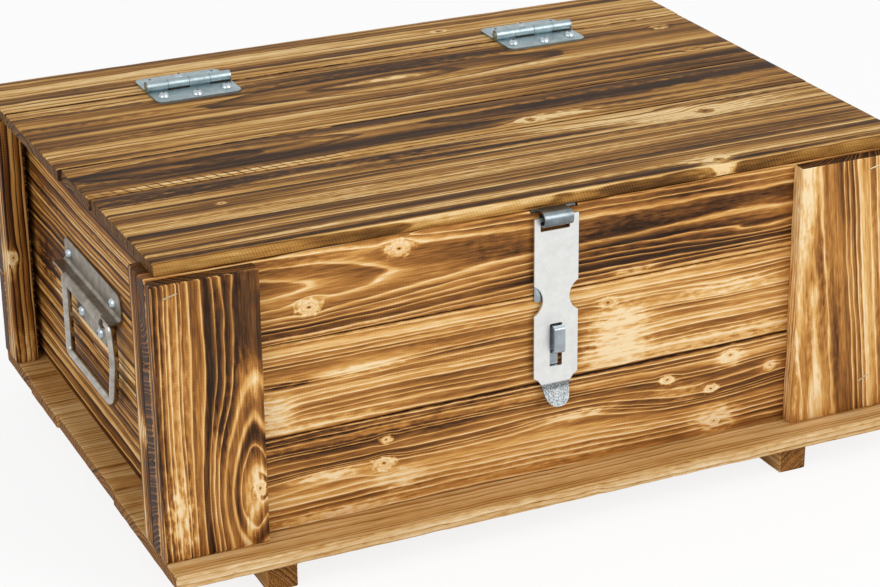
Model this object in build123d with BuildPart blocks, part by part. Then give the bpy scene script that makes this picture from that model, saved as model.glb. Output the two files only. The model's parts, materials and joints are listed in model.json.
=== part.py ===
from build123d import *

import os
from math import cos, radians, sin

# A scorched board chest: a nailed box on two runners, a hinged lid, a hasp and two
# drop handles. All sizes are in mm. Places are given from the left end, from the front
# face of the posts and from the floor's top, and the functions along, back and up move
# them to the chest's own origin, on the ground under its middle.

os.makedirs("parts", exist_ok=True)

# Outline
chest_length = 606
post_face_to_back = 400
floor_overhang = 21
top_overhang = 31
wall_height = 206
floor_thickness = 10.5
runner_height = 24

# Boards
post_thickness = 12
wall_thickness = 14
top_thickness = 9.5
arris = 0.9
worn_arris = 3
joint_gap = 0.5
lid_seat_gap = 0.3
left_post_width = 76.5
right_post_start = 500
strip_width = 18
strip_depth = 20
end_wall_inset = 24
runner_width = 23
runner_setback = 10
runner_lefts = (69.5, 485.5)
front_joints = (71.5, 141.5)
end_joints = (69.8, 139)
rear_joints = (70.2, 140.2)
floor_joints = (119.7, 257.9, 330)
lid_front = 14
lid_joints = (148.8, 215.9)
hinge_line = 354
batten_width = 32
batten_thickness = 15
batten_span = (40, 340)
batten_lefts = (58, 516)

# Hinges
hinge_centres = (152.6, 457.4)
hinge_length = 70
leaf_depth = 31
leaf_thickness = 1.7
leaf_corner = 6
knuckle_radius = 4.5
knuckle_count = 4
knuckle_gap = 0.3
pin_radius = 2.5
pin_clearance = 0.05
pin_height = 4.8
leaf_tab_start = 0.8
hinge_screws = ((-26, 17), (0, 22.5), (26, 17))

# Hasp: a strap that hangs from a rolled tongue, with a slot that drops over a staple
strap_centre = 302.7
strap_width = 35
strap_back = 9.2
strap_thickness = 1.6
strap_window_width = 23.2
strap_window_bottom = 191.2
strap_bar_height = 2.6
waist_height = 138.7
waist_notch_height = 23.2
waist_notch_depth = 7
slot_width = 10
slot_bottom = 85.6
slot_top = 119.2
shoulder_height = 77
bend_height = 68.5
tongue_width = 20.5
tongue_length = 14.5
tongue_angle = 30
tongue_bend_radius = 7
roll_radius = 4.8
roll_depth = 6
roll_middle = 301.5
roll_width = 22.4
roll_sweep = 295
hasp_plate_length = 34
hasp_sheet = 1.5
hasp_plate_corner = 5
staple_centre = 303.2
staple_width = 8.2
staple_thickness = 1.8
staple_plate_centre = 299
staple_plate_width = 25
staple_plate_thickness = 1.6
staple_plate_top = 149
staple_arm_bottom = 137
staple_stem_width = 13
staple_stem_bottom = 79
staple_screw_spots = ((-8.5, 144.5), (8.5, 144.5), (0, 83.5))
staple_loop_route = ((11.4, 117.4), (2.9, 116.6), (2.6, 110), (2.6, 104), (3, 98.4), (11.4, 96.2))
sheet_bend = 1.6
hasp_screw_spots = ((-10, 33), (10, 33), (0, 41.5))

# Drop handles on the end walls
handle_middle = 212
handle_axis_height = 114.5
handle_axis_reach = 7.5
handle_sheet = 1.6
handle_roll_radius = 4.7
handle_top = 139.5
handle_bend = 4
handle_bend_height = 107.1
handle_foot_top = 97
handle_bottom = 84
handle_hood_length = 136
handle_tab_reach = 11.5
handle_wrap_middle = 209.5
handle_wrap_length = 93
handle_wrap_sweep = 160
handle_foot_length = 72
handle_foot_middle = 219.5
handle_corner = 7
handle_screw_height = 128
handle_screw_middle = 215
handle_screw_pitch = 106.5
foot_screw_height = 91
foot_screw_pitch = 46
bail_radius = 3.5
bail_route = (
    (224, 114.5),
    (262, 114.5),
    (262, 51),
    (157, 51),
    (147.5, 88),
    (152.5, 114.5),
    (193, 114.5),
)
bail_bends = (5, 6, 10, 25, 5)

# Wood screws
head_radius = 4.5
head_height = 3.2
head_crown = (3.2, 2.1)
flat_head_radius = 3
flat_head_height = 1.5
flat_head_play = 0.05
shank_radius = 1.7
shank_length = 7.5
point_length = 2
screw_hole_radius = 1.8
pilot_depth = 7

# Levels and places worked out from the sizes above
chest_middle = (post_face_to_back + top_overhang - floor_overhang) / 2
inner_front = post_thickness + wall_thickness
inner_back = post_face_to_back - wall_thickness
top_level = wall_height + top_thickness
lid_underside = wall_height + lid_seat_gap
hasp_plate_underside = lid_underside - hasp_sheet
roll_height = lid_underside - hasp_sheet / 2 - roll_radius
strap_top = roll_height + 0.6
strap_middle_plane = strap_back - strap_thickness / 2
staple_plate_face = post_thickness - staple_plate_thickness


def along(x):
    return x - chest_length / 2


def back(y):
    return y - chest_middle


def up(z):
    return z + runner_height + floor_thickness


def finish(piece, label):
    """Labels a finished piece and writes its file."""
    piece.label = label
    export_step(piece, f"parts/{label}.step")


def make_board(label, x, y, z, worn_front=False, screws=()):
    """A sawn board between two places along each axis, with its long edges eased."""
    length, depth, height = (high - low for low, high in (x, y, z))
    grain = {length: Axis.X, depth: Axis.Y, height: Axis.Z}[max(length, depth, height)]
    with BuildPart() as board:
        with BuildSketch(Plane.XY.offset(up(z[0]))):
            with Locations((along(sum(x) / 2), back(sum(y) / 2))):
                Rectangle(length, depth)
        extrude(amount=height)
        long_edges = board.edges().filter_by(grain)
        if worn_front:
            front_edges = long_edges.group_by(Axis.Y)[0].sort_by(Axis.Z)
            fillet(front_edges[-1], worn_arris)
            long_edges = board.edges().filter_by(grain).group_by(Axis.Y)[-1]
        fillet(long_edges, arris)
        if screws:
            with Locations(*screws):
                Hole(screw_hole_radius, pilot_depth)
    finish(board.part, label)


# A domed wood screw, its head's seat on the XY plane
with BuildPart() as domed_screw:
    with BuildSketch(Plane.XZ):
        with BuildLine():
            crown = ThreePointArc((0, head_height), head_crown, (head_radius, 0))
            Polyline(
                crown @ 1,
                (shank_radius, 0),
                (shank_radius, point_length - shank_length),
                (0, -shank_length),
                crown @ 0,
            )
        make_face()
    revolve(axis=Axis.Z)

# A flat-headed wood screw, its head flush with the XY plane
with BuildPart() as flat_screw:
    with BuildSketch(Plane.XZ):
        with BuildLine():
            Polyline(
                (0, 0),
                (flat_head_radius - flat_head_play, 0),
                (shank_radius, -flat_head_height),
                (shank_radius, point_length - shank_length),
                (0, -shank_length),
                (0, 0),
            )
        make_face()
    revolve(axis=Axis.Z)


def make_screws(label, screw, planes):
    """One screw on each of the given planes."""
    with BuildPart() as screws:
        with Locations(*planes):
            add(screw.part)
    finish(screws.part, label)


def hinge_screw_planes(side, level, centres=hinge_centres):
    """Places on the leaves in front of the pins (side -1) or behind them (side 1)."""
    return [
        Plane(origin=(along(centre + offset), back(hinge_line + side * setback), up(level)))
        for centre in centres
        for offset, setback in hinge_screws
    ]


def handle_screw_planes(side, proud):
    """Places on an end wall, the given distance proud of it: two above the roll, two below."""
    face = side * (chest_length / 2 - end_wall_inset + proud)
    spots = (
        (handle_screw_middle - handle_screw_pitch / 2, handle_screw_height),
        (handle_screw_middle + handle_screw_pitch / 2, handle_screw_height),
        (handle_foot_middle - foot_screw_pitch / 2, foot_screw_height),
        (handle_foot_middle + foot_screw_pitch / 2, foot_screw_height),
    )
    return [Plane(origin=(face, back(y), up(z)), z_dir=(side, 0, 0)) for y, z in spots]


def staple_screw_planes(y):
    """Places on the staple's plate: one in each arm, and one at the foot of its stem."""
    return [
        Plane(origin=(along(staple_plate_centre + x), back(y), up(z)), z_dir=(0, -1, 0))
        for x, z in staple_screw_spots
    ]


def hasp_screw_planes(z):
    """Places under the lid, behind the front wall."""
    return [
        Plane(origin=(along(strap_centre + x), back(y), up(z)), z_dir=(0, 0, -1))
        for x, y in hasp_screw_spots
    ]


# Runners
for side, left in zip(("left", "right"), runner_lefts):
    make_board(
        f"runner_{side}",
        (left, left + runner_width),
        (-runner_setback, post_face_to_back - runner_setback),
        (-floor_thickness - runner_height, -floor_thickness),
    )

# Floor boards. The front one keeps the wavy edge of the tree.
with BuildPart() as floor_front:
    with BuildSketch(Plane.XY.offset(up(-floor_thickness))):
        with BuildLine():
            waves = ((0, 1.4), (110, 0.3), (235, 1.5), (370, 0), (480, 1.3), (606, 0.4))
            wavy_edge = Spline(*[(along(x), back(wave - floor_overhang)) for x, wave in waves])
            Polyline(
                wavy_edge @ 1,
                (along(chest_length), back(floor_joints[0])),
                (along(0), back(floor_joints[0])),
                wavy_edge @ 0,
            )
        make_face()
    extrude(amount=floor_thickness)
    fillet(floor_front.edges().group_by(Axis.Y)[-1].filter_by(Axis.X), arris)
finish(floor_front.part, "floor_board_front")

floor_ends = ((1.5, 605), (0, 605.5), (1, 604))
floor_rows = zip(("middle", "narrow", "rear"), floor_joints, (*floor_joints[1:], post_face_to_back))
for (name, near, far), ends in zip(floor_rows, floor_ends):
    make_board(f"floor_board_{name}", ends, (near + joint_gap, far), (-floor_thickness, 0))

# Walls of three boards each. The end walls stand between the front and rear ones.
rear_levels = (0, *rear_joints, wall_height)
end_levels = (0, *end_joints, wall_height)
for number, name in enumerate(("bottom", "middle", "top")):
    gap = joint_gap if number else 0
    make_board(
        f"rear_board_{name}",
        (0, chest_length),
        (inner_back, post_face_to_back),
        (rear_levels[number] + gap, rear_levels[number + 1]),
    )
    for side, sign, near in (
        ("left", -1, end_wall_inset),
        ("right", 1, chest_length - end_wall_inset - wall_thickness),
    ):
        make_board(
            f"{side}_end_board_{name}",
            (near, near + wall_thickness),
            (inner_front, inner_back),
            (end_levels[number] + gap, end_levels[number + 1]),
            screws=handle_screw_planes(sign, 0) if name == "middle" else (),
        )

staple_pilots = staple_screw_planes(post_thickness)
make_board(
    "front_board_bottom",
    (0, chest_length),
    (post_thickness, inner_front),
    (0, front_joints[0]),
)
make_board(
    "front_board_middle",
    (0, chest_length),
    (post_thickness, inner_front),
    (front_joints[0] + joint_gap, front_joints[1]),
    screws=staple_pilots[2:],
)
with BuildPart() as front_top:
    with BuildSketch(Plane.XY.offset(up(front_joints[1] + joint_gap))):
        with Locations((0, back(post_thickness + wall_thickness / 2))):
            Rectangle(chest_length, wall_thickness)
    extrude(amount=wall_height - front_joints[1] - joint_gap)
    fillet(front_top.edges().filter_by(Axis.X), arris)
    # A shallow notch lets the hasp's plate pass under the lid
    with BuildSketch(Plane.XY.offset(up(wall_height))):
        with Locations((along(strap_centre), back(post_thickness + wall_thickness / 2))):
            Rectangle(strap_width + 2, wall_thickness)
    extrude(amount=lid_seat_gap - hasp_sheet - 0.5, mode=Mode.SUBTRACT)
    with Locations(*staple_pilots[:2]):
        Hole(screw_hole_radius, pilot_depth)
finish(front_top.part, "front_board_top")

# Posts on the front, and a strip in each corner outside the end walls
make_board("front_post_left", (0, left_post_width), (0, post_thickness), (0, wall_height))
make_board("front_post_right", (right_post_start, chest_length), (0, post_thickness), (0, wall_height))
for side, near in (("left", 0), ("right", chest_length - strip_width)):
    for end, front in (("front", inner_front), ("rear", inner_back - strip_depth)):
        make_board(
            f"corner_strip_{end}_{side}",
            (near, near + strip_width),
            (front, front + strip_depth),
            (0, wall_height),
        )

# The top: one fixed board at the back, and a lid of three boards on two battens
make_board(
    "rear_top_board",
    (3.5, 598),
    (hinge_line + 0.5, post_face_to_back + top_overhang),
    (wall_height, top_level),
    screws=hinge_screw_planes(1, top_level),
)
make_board(
    "lid_board_rear",
    (3.5, 597),
    (lid_joints[1] + joint_gap, hinge_line - 0.5),
    (lid_underside, top_level),
    screws=hinge_screw_planes(-1, top_level),
)
make_board(
    "lid_board_middle",
    (6, 597.5),
    (lid_joints[0] + joint_gap, lid_joints[1]),
    (lid_underside, top_level),
)
make_board(
    "lid_board_front",
    (7.5, 597),
    (lid_front, lid_joints[0]),
    (lid_underside, top_level),
    worn_front=True,
    screws=hasp_screw_planes(lid_underside),
)
for side, left in zip(("left", "right"), batten_lefts):
    make_board(
        f"lid_batten_{side}",
        (left, left + batten_width),
        batten_span,
        (lid_underside - batten_thickness, lid_underside),
    )

# Hinges: each leaf is a flat sheet with every second knuckle rolled round the pin
knuckle_pitch = hinge_length / knuckle_count
for hinge, centre in zip(("left", "right"), hinge_centres):
    pin_point = (along(centre - hinge_length / 2), back(hinge_line), up(top_level + pin_height))
    pin_plane = Plane(origin=pin_point, x_dir=(0, 1, 0), z_dir=(1, 0, 0))
    for owner, side, first_knuckle in (("lid", -1, 0), ("fixed", 1, 1)):
        bore = pin_radius + (pin_clearance if owner == "lid" else 0)
        knuckle_starts = [
            knuckle_pitch * number + knuckle_gap / 2
            for number in range(first_knuckle, knuckle_count, 2)
        ]
        width = knuckle_pitch - knuckle_gap
        clear_of_pin = knuckle_radius + knuckle_gap
        with BuildPart() as leaf:
            with BuildSketch(Plane.XY.offset(up(top_level))):
                flat_depth = leaf_depth - clear_of_pin
                flat_middle = hinge_line + side * (leaf_depth + clear_of_pin) / 2
                with Locations((along(centre), back(flat_middle))):
                    sheet = Rectangle(hinge_length, flat_depth)
                far_corners = sheet.vertices().sort_by(Axis.Y)
                fillet(far_corners[:2] if side < 0 else far_corners[-2:], leaf_corner)
                tab_depth = clear_of_pin - leaf_tab_start
                tab_middle = hinge_line + side * (clear_of_pin + leaf_tab_start) / 2
                tab_places = [
                    (pin_point[0] + start + width / 2, back(tab_middle)) for start in knuckle_starts
                ]
                with Locations(*tab_places):
                    Rectangle(width, tab_depth)
            extrude(amount=leaf_thickness)
            for start in knuckle_starts:
                with BuildSketch(pin_plane.offset(start)):
                    Circle(knuckle_radius)
                extrude(amount=width)
            with BuildSketch(pin_plane):
                Circle(bore)
            extrude(amount=hinge_length, mode=Mode.SUBTRACT)
            with Locations(*hinge_screw_planes(side, top_level + leaf_thickness, [centre])):
                Hole(screw_hole_radius, 2 * leaf_thickness)
        finish(leaf.part, f"hinge_{owner}_leaf_{hinge}")
    with BuildPart() as pin:
        with BuildSketch(pin_plane):
            Circle(pin_radius)
        extrude(amount=hinge_length)
        chamfer(pin.edges(), 0.4)
    finish(pin.part, f"hinge_pin_{hinge}")
make_screws("hinge_lid_screws", domed_screw, hinge_screw_planes(-1, top_level + leaf_thickness))
make_screws("hinge_fixed_screws", domed_screw, hinge_screw_planes(1, top_level + leaf_thickness))

# Hasp plate: screwed under the lid, its tongue rolled into the strap's hinge
roll_plane = Plane(
    origin=(along(roll_middle), back(roll_depth), up(roll_height)),
    x_dir=(0, 1, 0),
    z_dir=(1, 0, 0),
)
plate_front = lid_front - 0.5
with BuildPart() as hasp_plate:
    with BuildSketch(Plane.XY.offset(up(hasp_plate_underside))):
        with Locations((along(strap_centre), back(plate_front + hasp_plate_length / 2))):
            sheet = Rectangle(strap_width, hasp_plate_length)
        fillet(sheet.vertices().sort_by(Axis.Y)[-2:], hasp_plate_corner)
    extrude(amount=hasp_sheet)
    with BuildSketch(roll_plane):
        with BuildLine():
            tongue = Line((plate_front + 1 - roll_depth, roll_radius), (0, roll_radius))
            CenterArc((0, 0), roll_radius, 90, roll_sweep)
        trace(line_width=hasp_sheet)
    extrude(amount=roll_width / 2, both=True)
    with Locations(*hasp_screw_planes(hasp_plate_underside)):
        Hole(screw_hole_radius, 2 * hasp_sheet)
finish(hasp_plate.part, "hasp_plate")
make_screws("hasp_plate_screws", domed_screw, hasp_screw_planes(hasp_plate_underside))

# Hasp strap: its side profile, with the bent tongue, cut to its front outline
strap_side = Plane(
    origin=(along(strap_centre), back(strap_middle_plane), up(0)), x_dir=(0, 1, 0), z_dir=(1, 0, 0)
)
strap_front = Plane(
    origin=(along(strap_centre), back(strap_back + strap_thickness), up(0)),
    x_dir=(1, 0, 0),
    z_dir=(0, -1, 0),
)
half_strap = strap_width / 2
half_tongue = tongue_width / 2
tongue_reach = tongue_length * sin(radians(tongue_angle))
tongue_tip = bend_height - tongue_length * cos(radians(tongue_angle))
with BuildPart() as strap:
    with BuildSketch(strap_side):
        with BuildLine():
            FilletPolyline(
                (0, strap_top), (0, bend_height), (-tongue_reach, tongue_tip), radius=tongue_bend_radius
            )
        trace(line_width=strap_thickness)
    extrude(amount=half_strap, both=True)
    with BuildSketch(strap_front):
        with BuildLine():
            head = Polyline(
                (0, strap_top),
                (half_strap, strap_top),
                (half_strap, waist_height + waist_notch_height / 2),
            )
            waist = ThreePointArc(
                head @ 1,
                (half_strap - waist_notch_depth, waist_height),
                (half_strap, waist_height - waist_notch_height / 2),
            )
            edge = Polyline(
                waist @ 1,
                (half_strap, shoulder_height + 1.5),
                (half_strap - 3.2, shoulder_height - 0.6),
            )
            neck = ThreePointArc(
                edge @ 1,
                (half_tongue + 1.3, (shoulder_height + bend_height) / 2 - 0.6),
                (half_tongue, bend_height - 1.5),
            )
            tongue_side = Line(neck @ 1, (half_tongue - 0.4, tongue_tip + 8.5))
            TangentArc(tongue_side @ 1, (0, tongue_tip), tangent=tongue_side % 1)
            mirror(about=Plane.YZ)
        make_face()
        with Locations((0, (slot_bottom + slot_top) / 2)):
            RectangleRounded(slot_width, slot_top - slot_bottom, 1, mode=Mode.SUBTRACT)
        window_top = strap_top - strap_bar_height
        with Locations((roll_middle - strap_centre, (strap_window_bottom + window_top) / 2)):
            RectangleRounded(
                strap_window_width, window_top - strap_window_bottom, 0.8, mode=Mode.SUBTRACT
            )
    extrude(amount=4 * tongue_length, mode=Mode.INTERSECT)
finish(strap.part, "hasp_leaf")

# Staple: a T-shaped plate, and a strip loop that stands out through the strap's slot
with BuildPart() as staple_plate:
    with BuildSketch(Plane.XZ.offset(-back(post_thickness))) as plate_outline:
        arm_height = staple_plate_top - staple_arm_bottom
        with Locations((along(staple_plate_centre), up(staple_arm_bottom + arm_height / 2))):
            Rectangle(staple_plate_width, arm_height)
        stem_height = staple_arm_bottom - staple_stem_bottom
        with Locations((along(staple_plate_centre), up(staple_stem_bottom + stem_height / 2))):
            Rectangle(staple_stem_width, stem_height)
        fillet(plate_outline.vertices(), 1.5)
    extrude(amount=staple_plate_thickness)
    with Locations(*staple_screw_planes(staple_plate_face)):
        CounterSinkHole(screw_hole_radius, flat_head_radius, 2 * staple_plate_thickness)
finish(staple_plate.part, "staple_plate")
make_screws("staple_screws", flat_screw, staple_screw_planes(staple_plate_face))

with BuildPart() as staple_loop:
    with BuildSketch(Plane.YZ.offset(along(staple_centre))):
        with BuildLine():
            FilletPolyline(*[(back(y), up(z)) for y, z in staple_loop_route], radius=sheet_bend)
        trace(line_width=staple_thickness)
    extrude(amount=staple_width / 2, both=True)
    split(bisect_by=Plane.XZ.offset(-back(staple_plate_face)), keep=Keep.TOP)
finish(staple_loop.part, "staple_loop")

# Drop handles: a sheet folded over the top of the bail, and the wire bail itself
for side, sign in (("left", -1), ("right", 1)):
    wall_face = sign * (chest_length / 2 - end_wall_inset)
    # The sheet's profile is drawn looking along the wall, with outward as its first axis
    profile_plane = Plane(
        origin=(wall_face, back(handle_middle), 0), x_dir=(sign, 0, 0), z_dir=(0, -sign, 0)
    )
    flange = handle_sheet / 2
    roll_centre = (handle_axis_reach, up(handle_axis_height))
    roll_top = up(handle_axis_height) + handle_roll_radius
    with BuildPart() as plate:
        with BuildSketch(profile_plane):
            with BuildLine():
                FilletPolyline(
                    (flange, up(handle_top)),
                    (flange, roll_top),
                    (handle_axis_reach, roll_top),
                    radius=handle_bend,
                )
            trace(line_width=handle_sheet)
        extrude(amount=handle_hood_length / 2, both=True)
        # Past the roll, the sheet's ends stay flat as stops for the raised bail
        wrap_ends = (handle_wrap_middle - handle_wrap_length / 2, handle_wrap_middle + handle_wrap_length / 2)
        hood_ends = (handle_middle - handle_hood_length / 2, handle_middle + handle_hood_length / 2)
        tab_middle = wall_face + sign * (handle_axis_reach + handle_tab_reach) / 2
        for wrap_end, hood_end in zip(wrap_ends, hood_ends):
            with Locations((tab_middle, back((wrap_end + hood_end) / 2), roll_top)):
                Box(handle_tab_reach - handle_axis_reach, abs(hood_end - wrap_end), handle_sheet)
        with BuildSketch(profile_plane.offset(sign * (handle_middle - handle_wrap_middle))):
            with BuildLine():
                wrap = CenterArc(roll_centre, handle_roll_radius, 90, -handle_wrap_sweep)
                FilletPolyline(
                    wrap @ 1,
                    (flange, up(handle_bend_height)),
                    (flange, up(handle_foot_top)),
                    radius=sheet_bend,
                )
            trace(line_width=handle_sheet)
        extrude(amount=handle_wrap_length / 2, both=True)
        with BuildSketch(profile_plane.offset(sign * (handle_middle - handle_foot_middle))):
            with Locations((flange, up((handle_foot_top + handle_bottom) / 2))):
                Rectangle(handle_sheet, handle_foot_top - handle_bottom)
        extrude(amount=handle_foot_length / 2, both=True)
        outward_edges = plate.edges().filter_by(Axis.X)
        fillet(outward_edges.group_by(Axis.Z)[-1], handle_corner)
        fillet(plate.edges().filter_by(Axis.X).group_by(Axis.Z)[0], handle_corner)
        with Locations(*handle_screw_planes(sign, handle_sheet)):
            Hole(screw_hole_radius, 2 * handle_sheet)
    finish(plate.part, f"handle_plate_{side}")
    make_screws(f"handle_screws_{side}", domed_screw, handle_screw_planes(sign, handle_sheet))

    bail_plane = Plane(
        origin=(wall_face + sign * handle_axis_reach, back(0), up(0)),
        x_dir=(0, 1, 0),
        z_dir=(1, 0, 0),
    )
    with BuildPart() as bail:
        with BuildLine(bail_plane):
            wire = FilletPolyline(*bail_route, radius=bail_bends)
        with BuildSketch(wire ^ 0):
            Circle(bail_radius)
        sweep()
    finish(bail.part, f"bail_{side}")
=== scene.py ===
import json
import math
from collections import namedtuple

import bmesh
import bpy
from mathutils import Matrix, Vector, noise


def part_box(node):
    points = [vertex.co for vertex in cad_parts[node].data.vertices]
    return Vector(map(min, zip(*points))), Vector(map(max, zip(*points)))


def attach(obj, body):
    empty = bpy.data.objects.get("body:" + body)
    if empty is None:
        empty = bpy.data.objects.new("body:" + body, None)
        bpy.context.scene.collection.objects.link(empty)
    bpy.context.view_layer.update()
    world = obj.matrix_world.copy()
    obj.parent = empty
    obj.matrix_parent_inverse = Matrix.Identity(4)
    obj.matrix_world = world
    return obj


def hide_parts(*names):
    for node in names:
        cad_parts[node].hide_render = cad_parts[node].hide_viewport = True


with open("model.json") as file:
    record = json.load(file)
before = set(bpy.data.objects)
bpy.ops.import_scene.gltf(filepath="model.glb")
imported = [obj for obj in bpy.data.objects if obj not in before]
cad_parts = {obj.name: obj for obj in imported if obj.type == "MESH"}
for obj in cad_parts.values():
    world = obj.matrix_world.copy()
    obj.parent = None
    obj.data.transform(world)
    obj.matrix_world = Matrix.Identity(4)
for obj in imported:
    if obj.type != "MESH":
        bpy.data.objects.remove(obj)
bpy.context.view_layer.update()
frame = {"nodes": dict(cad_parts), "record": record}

bl_info = {
    "name": "Scorched Board Chest",
    "version": (1, 0, 0),
    "blender": (4, 5, 0),
    "location": "3D View > Sidebar > Chest",
    "description": "Dresses a boarded storage chest in flamed spruce and zinc-plated steel",
    "category": "Object",
}

# Places on the chest are in mm: from its left end, from the front face of its posts and
# from the top of its floor. The chest's own origin is on the ground under its middle.
MM = 0.001
ORIGIN = Vector((303.0, 205.0, -34.5))
AXES = {"X": 0, "Y": 1, "Z": 2}
# A patch of this length in mm runs along the whole board
WHOLE = 1e4

# A soft oval on a board's face. It lightens (above 0) or darkens (below 0) the wood, and
# pushes the growth rings aside by a number of rings.
Patch = namedtuple("Patch", "along across length width tone rings", defaults=(0, 0))
# A branch knot: its place on the board's face, its radius and how pale its heart is
Knot = namedtuple("Knot", "along across radius heart", defaults=(1.0,))
# Saw chatter: slanting ticks a pitch apart, inside a soft oval on a board's face
Chatter = namedtuple("Chatter", "along across length width pitch")
# One board: the CAD nodes it stands in for, its place on the chest, its look, the axes along
# and across it, and where the log's pith lies. lean turns its grain, in radians.
# wave is how uneven the saw left it, in mm. notch is where its upper edge is cut down:
# start, end and depth.
Board = namedtuple(
    "Board",
    "nodes title look axes ring_width pith scorch seed wave_seed"
    " patches knots lean chatter wave notch",
    defaults=((), (), 0.0, None, 0.35, None),
)


def linear(hex_colour):
    """An sRGB hex colour as linear red, green, blue and alpha."""
    values = [int(hex_colour[i : i + 2], 16) / 255 for i in (1, 3, 5)]
    return [v / 12.92 if v <= 0.04045 else ((v + 0.055) / 1.055) ** 2.4 for v in values] + [1.0]


def add_node(tree, kind, inputs=None, operation=None, **settings):
    """Adds a shader node, with its settings and links.

    inputs maps its sockets, by name or number, to values, sockets or nodes."""
    made = tree.nodes.new("ShaderNode" + kind)
    if operation:
        made.operation = operation
    for name, value in settings.items():
        setattr(made, name, value)
    if not isinstance(inputs, dict):
        inputs = dict(enumerate(inputs or ()))
    for key, value in inputs.items():
        if isinstance(value, bpy.types.Node):
            value = value.outputs[0]
        if isinstance(value, bpy.types.NodeSocket):
            tree.links.new(value, made.inputs[key])
        else:
            made.inputs[key].default_value = value
    made.location = (220 * (len(tree.nodes) % 12), -260 * (len(tree.nodes) // 12))
    return made


def set_ramp(ramp_node, stops, interpolation="LINEAR"):
    """Gives a colour ramp its stops: (position, hex colour or grey level) pairs."""
    ramp = ramp_node.color_ramp
    ramp.interpolation = interpolation
    while len(ramp.elements) < len(stops):
        ramp.elements.new(0.5)
    for element, (position, colour) in zip(ramp.elements, stops):
        element.position = position
        element.color = linear(colour) if isinstance(colour, str) else (colour, colour, colour, 1)


def new_group(name, inputs, outputs):
    """A node group's tree, and its sockets inside: those it is given and those it gives."""
    tree = bpy.data.node_groups.new(name, "ShaderNodeTree")
    for in_out, sockets in (("INPUT", inputs), ("OUTPUT", outputs)):
        for socket_name, kind in sockets.items():
            tree.interface.new_socket(socket_name, in_out=in_out, socket_type="NodeSocket" + kind)
    given = tree.nodes.new("NodeGroupInput").outputs
    return tree, given, tree.nodes.new("NodeGroupOutput").inputs


def new_material(name):
    """A node material, its tree and its shader."""
    material = bpy.data.materials.new(name)
    material.use_nodes = True
    return material, material.node_tree, material.node_tree.nodes["Principled BSDF"]


def make_patch_group():
    """An oval's weight, 1 at its centre and falling smoothly to 0, and one with a torn edge."""
    tree, given, result = new_group(
        "Oval patch",
        {"Place": "Vector", "Centre": "Vector", "Size": "Vector", "Tearing": "Float"},
        {"Smooth": "Float", "Torn": "Float"},
    )
    offset = add_node(tree, "VectorMath", [given["Place"], given["Centre"]], "SUBTRACT")
    scaled = add_node(tree, "VectorMath", [offset, given["Size"]], "DIVIDE")
    square = add_node(tree, "VectorMath", [scaled, scaled], "DOT_PRODUCT").outputs["Value"]
    torn = add_node(tree, "Math", [square, 1.2, given["Tearing"]], "MULTIPLY_ADD")
    least = add_node(tree, "Math", [torn, 0.0], "MAXIMUM")
    for name, source in (("Smooth", square), ("Torn", least)):
        falling = add_node(tree, "Math", [source, -1.0], "MULTIPLY")
        weight = add_node(tree, "Math", [falling], "EXPONENT")
        tree.links.new(weight.outputs[0], result[name])
    return tree


def make_knot_group():
    """A knot: how far it parts the rings, its pale halo, its hard core and the core's tone."""
    tree, given, result = new_group(
        "Branch knot",
        {"Place": "Vector", "Centre": "Vector", "Radius": "Float"},
        {"Push": "Float", "Halo": "Float", "Core": "Float", "Core tone": "Float"},
    )
    radius = given["Radius"]
    offset = add_node(tree, "VectorMath", [given["Place"], given["Centre"]], "SUBTRACT")
    # A branch is cut on the slant, so its oval is longer along the grain
    flat = add_node(tree, "VectorMath", [offset, (0.62, 1.0, 0.0)], "MULTIPLY")
    distance = add_node(tree, "VectorMath", [flat], "LENGTH").outputs["Value"]
    # Its outline wanders over about 3 mm
    wobble = add_node(tree, "TexNoise", {"Vector": given["Place"], "Scale": 1 / 3.125, "Detail": 2.0})
    uneven = add_node(tree, "Math", [wobble, 1.3, 0.35], "MULTIPLY_ADD")
    torn = add_node(tree, "Math", [uneven, distance], "MULTIPLY")
    # Distances are counted in the knot's own radius
    apart = add_node(tree, "Math", [torn, radius], "DIVIDE")
    reach = add_node(tree, "Math", [distance, radius], "DIVIDE")
    faded = {}
    for name, source, full, gone, curve in (
        ("Reach", reach, 0.0, 5.2, "SMOOTHERSTEP"),
        ("Halo", apart, 0.8, 2.6, "SMOOTHSTEP"),
        ("Core", apart, 0.9, 1.15, "SMOOTHSTEP"),
    ):
        fade = [source, full, gone, 1.0, 0.0]
        faded[name] = add_node(tree, "MapRange", fade, interpolation_type=curve)
    # Rings above the knot bend up and those below it bend down
    height = add_node(tree, "SeparateXYZ", [flat]).outputs["Y"]
    softened = add_node(tree, "Math", [radius, 0.7, distance], "MULTIPLY_ADD")
    side = add_node(tree, "Math", [height, softened], "DIVIDE")
    push = add_node(tree, "Math", [side, faded["Reach"]], "MULTIPLY")
    core_tone = add_node(tree, "ValToRGB", [apart])
    set_ramp(core_tone, ((0.0, 0.1), (0.15, 0.22), (0.32, 0.7), (0.6, 0.9), (1.0, 0.96)))
    for name, source in (
        ("Push", push), ("Halo", faded["Halo"]), ("Core", faded["Core"]), ("Core tone", core_tone)
    ):
        tree.links.new(source.outputs[0], result[name])
    return tree


# How a kind of wood looks. colours runs from char to clean wood, and ring_profile goes across
# one growth ring. dark_tone and light_tone give the ring's two ends: unscorched, and the change
# at full scorch. cloud is the scorch's drift along the board: its length and width in mm, and
# its strength. ash is the share of grey in the hardest char.
WoodLook = namedtuple(
    "WoodLook",
    "name colours ring_profile dark_tone light_tone scorch_bands cloud saw_marks saw_slant"
    " streaks ash roughness",
)

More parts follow.
